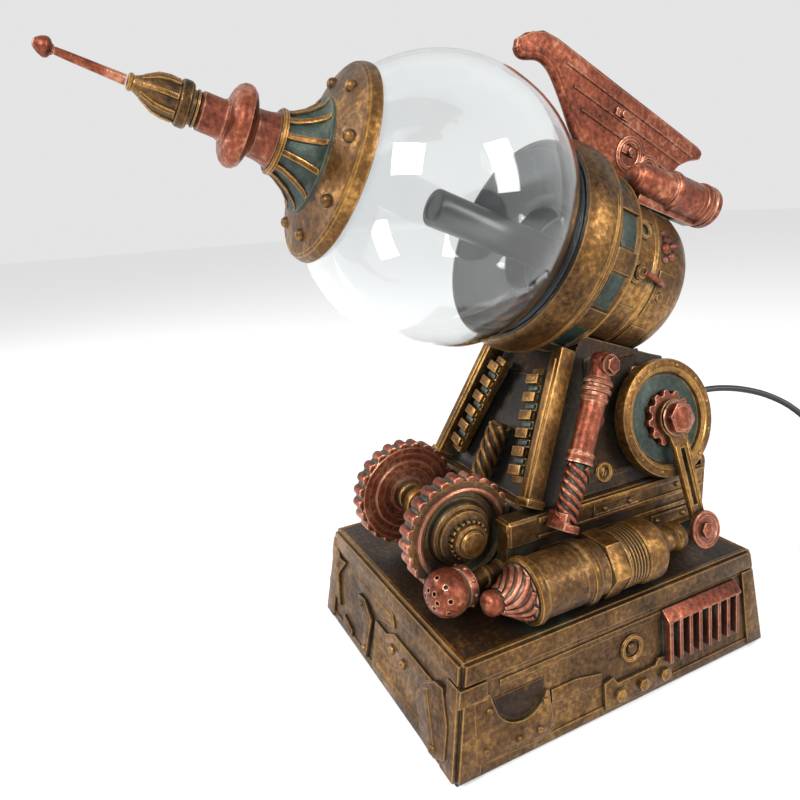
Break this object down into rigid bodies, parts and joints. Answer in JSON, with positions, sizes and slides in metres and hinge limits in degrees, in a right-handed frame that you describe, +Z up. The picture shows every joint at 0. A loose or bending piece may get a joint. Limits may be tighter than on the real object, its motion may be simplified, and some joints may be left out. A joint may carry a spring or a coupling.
{
  "type": "plasma ball",
  "caption": "Plasma ball lamp: a gas-filled glass globe in a steampunk ray-gun housing, carried on a geared tower and a tapered base with a turning flywheel, crank and piston.",
  "frame": {"origin": "centre of the underside of the base's felt pad", "axes": "+Z up; the nozzle points to -Y and up; the flywheel, crank and steam cylinder are on the +X side"},
  "size_m": [0.1582, 0.4513, 0.3091],
  "materials": {
    "bronze_paint": "cast resin, brushed with dark bronze paint and a drier bronze on the high edges",
    "dark_bronze_paint": "cast resin with a dark brown wash and bronze high points",
    "gold_paint": "cast resin in antique gold paint, dark in the recesses",
    "copper_paint": "cast resin in copper paint with dark red-brown recesses",
    "globe_glass": "clear blown glass, smooth",
    "grey_coat": "smooth dark grey conductive coating",
    "black_rubber": "smooth soft black rubber or vinyl",
    "black_plastic": "moulded black plastic, finely textured",
    "felt": "dark short-pile felt",
    "circuit_board": "green solder mask over glass-fibre board"
  },
  "bodies": {
    "stand": {"axle_bearing": "gold_paint", "base_cover": "black_plastic", "base_shell": "bronze_paint", "centre_spring": "gold_paint", "climbing_rack_left": "gold_paint", "climbing_rack_right": "gold_paint", "cooling_grille": "copper_paint", "cord_coil": "black_rubber", "cord_gland": "black_rubber", "cord_plug": "black_plastic", "cylinder_barrel": "bronze_paint", "cylinder_head": "gold_paint", "driver_board": "circuit_board", "drum_body": "gold_paint", "drum_rim": "gold_paint", "electrode": "grey_coat", "electrode_boot": "black_rubber", "feed_knob": "copper_paint", "feed_pipe": "gold_paint", "felt_pad": "felt", "filter_capacitor": "black_plastic", "flywheel_bearing": "dark_bronze_paint", "front_beam_left": "gold_paint", "front_beam_right": "gold_paint", "gland_nut": "gold_paint", "glass_globe": "globe_glass", "globe_cup": "grey_coat", "globe_seal": "black_rubber", "hv_lead": "black_plastic", "hv_transformer": "black_plastic", "nozzle_bell": "bronze_paint", "nozzle_flange": "gold_paint", "nozzle_neck": "copper_paint", "nozzle_rod": "copper_paint", "nozzle_sleeve": "bronze_paint", "nozzle_tip": "copper_paint", "packing_gland": "bronze_paint", "pedestal": "bronze_paint", "power_cord": "black_rubber", "scope_body": "copper_paint", "shock_spring_left": "copper_paint", "shock_spring_right": "copper_paint", "shock_tube_left": "copper_paint", "shock_tube_right": "copper_paint", "switch_housing": "black_plastic", "tail_fin": "copper_paint", "tower_body": "dark_bronze_paint", "turbine_cap": "copper_paint"},
    "gears": {"gear_axle": "gold_paint", "gear_hub_left": "bronze_paint", "gear_hub_right": "bronze_paint", "gear_wheel_left": "copper_paint", "gear_wheel_right": "copper_paint"},
    "flywheel": {"flywheel_disc": "gold_paint", "flywheel_gear": "copper_paint", "flywheel_hub": "copper_paint"},
    "crank": {"crank_arm": "gold_paint", "crank_pin": "copper_paint"},
    "piston": {"piston_rod": "gold_paint"},
    "rocker": {"switch_rocker": "black_plastic"}
  },
  "joints": [
    {"name": "gear_spin", "type": "hinge", "parent": "stand", "child": "gears", "pos_m": [0, -0.0616, 0.0898], "axis": [1, 0, 0], "continuous": true},
    {"name": "flywheel_spin", "type": "hinge", "parent": "stand", "child": "flywheel", "pos_m": [0.045, 0.0532, 0.1271], "axis": [0.9681, 0, 0.2504], "continuous": true},
    {"name": "crank_swing", "type": "hinge", "parent": "stand", "child": "crank", "pos_m": [0.045, 0.0532, 0.1271], "axis": [0.9681, 0, 0.2504], "range_deg": [-2.4, 2.4]},
    {"name": "rod_slide", "type": "slide", "parent": "stand", "child": "piston", "axis": [0, 1, 0], "range_m": [-0.0025, 0.0025]},
    {"name": "switch_rock", "type": "hinge", "parent": "stand", "child": "rocker", "pos_m": [-0.038, 0.09142, 0.026], "axis": [0, 0.1644, -0.9864], "range_deg": [0, 20]}
  ],
  "couplings": [
    {"joint": "rod_slide", "follows": "crank_swing", "m_per_rad": 0.058}
  ]
}
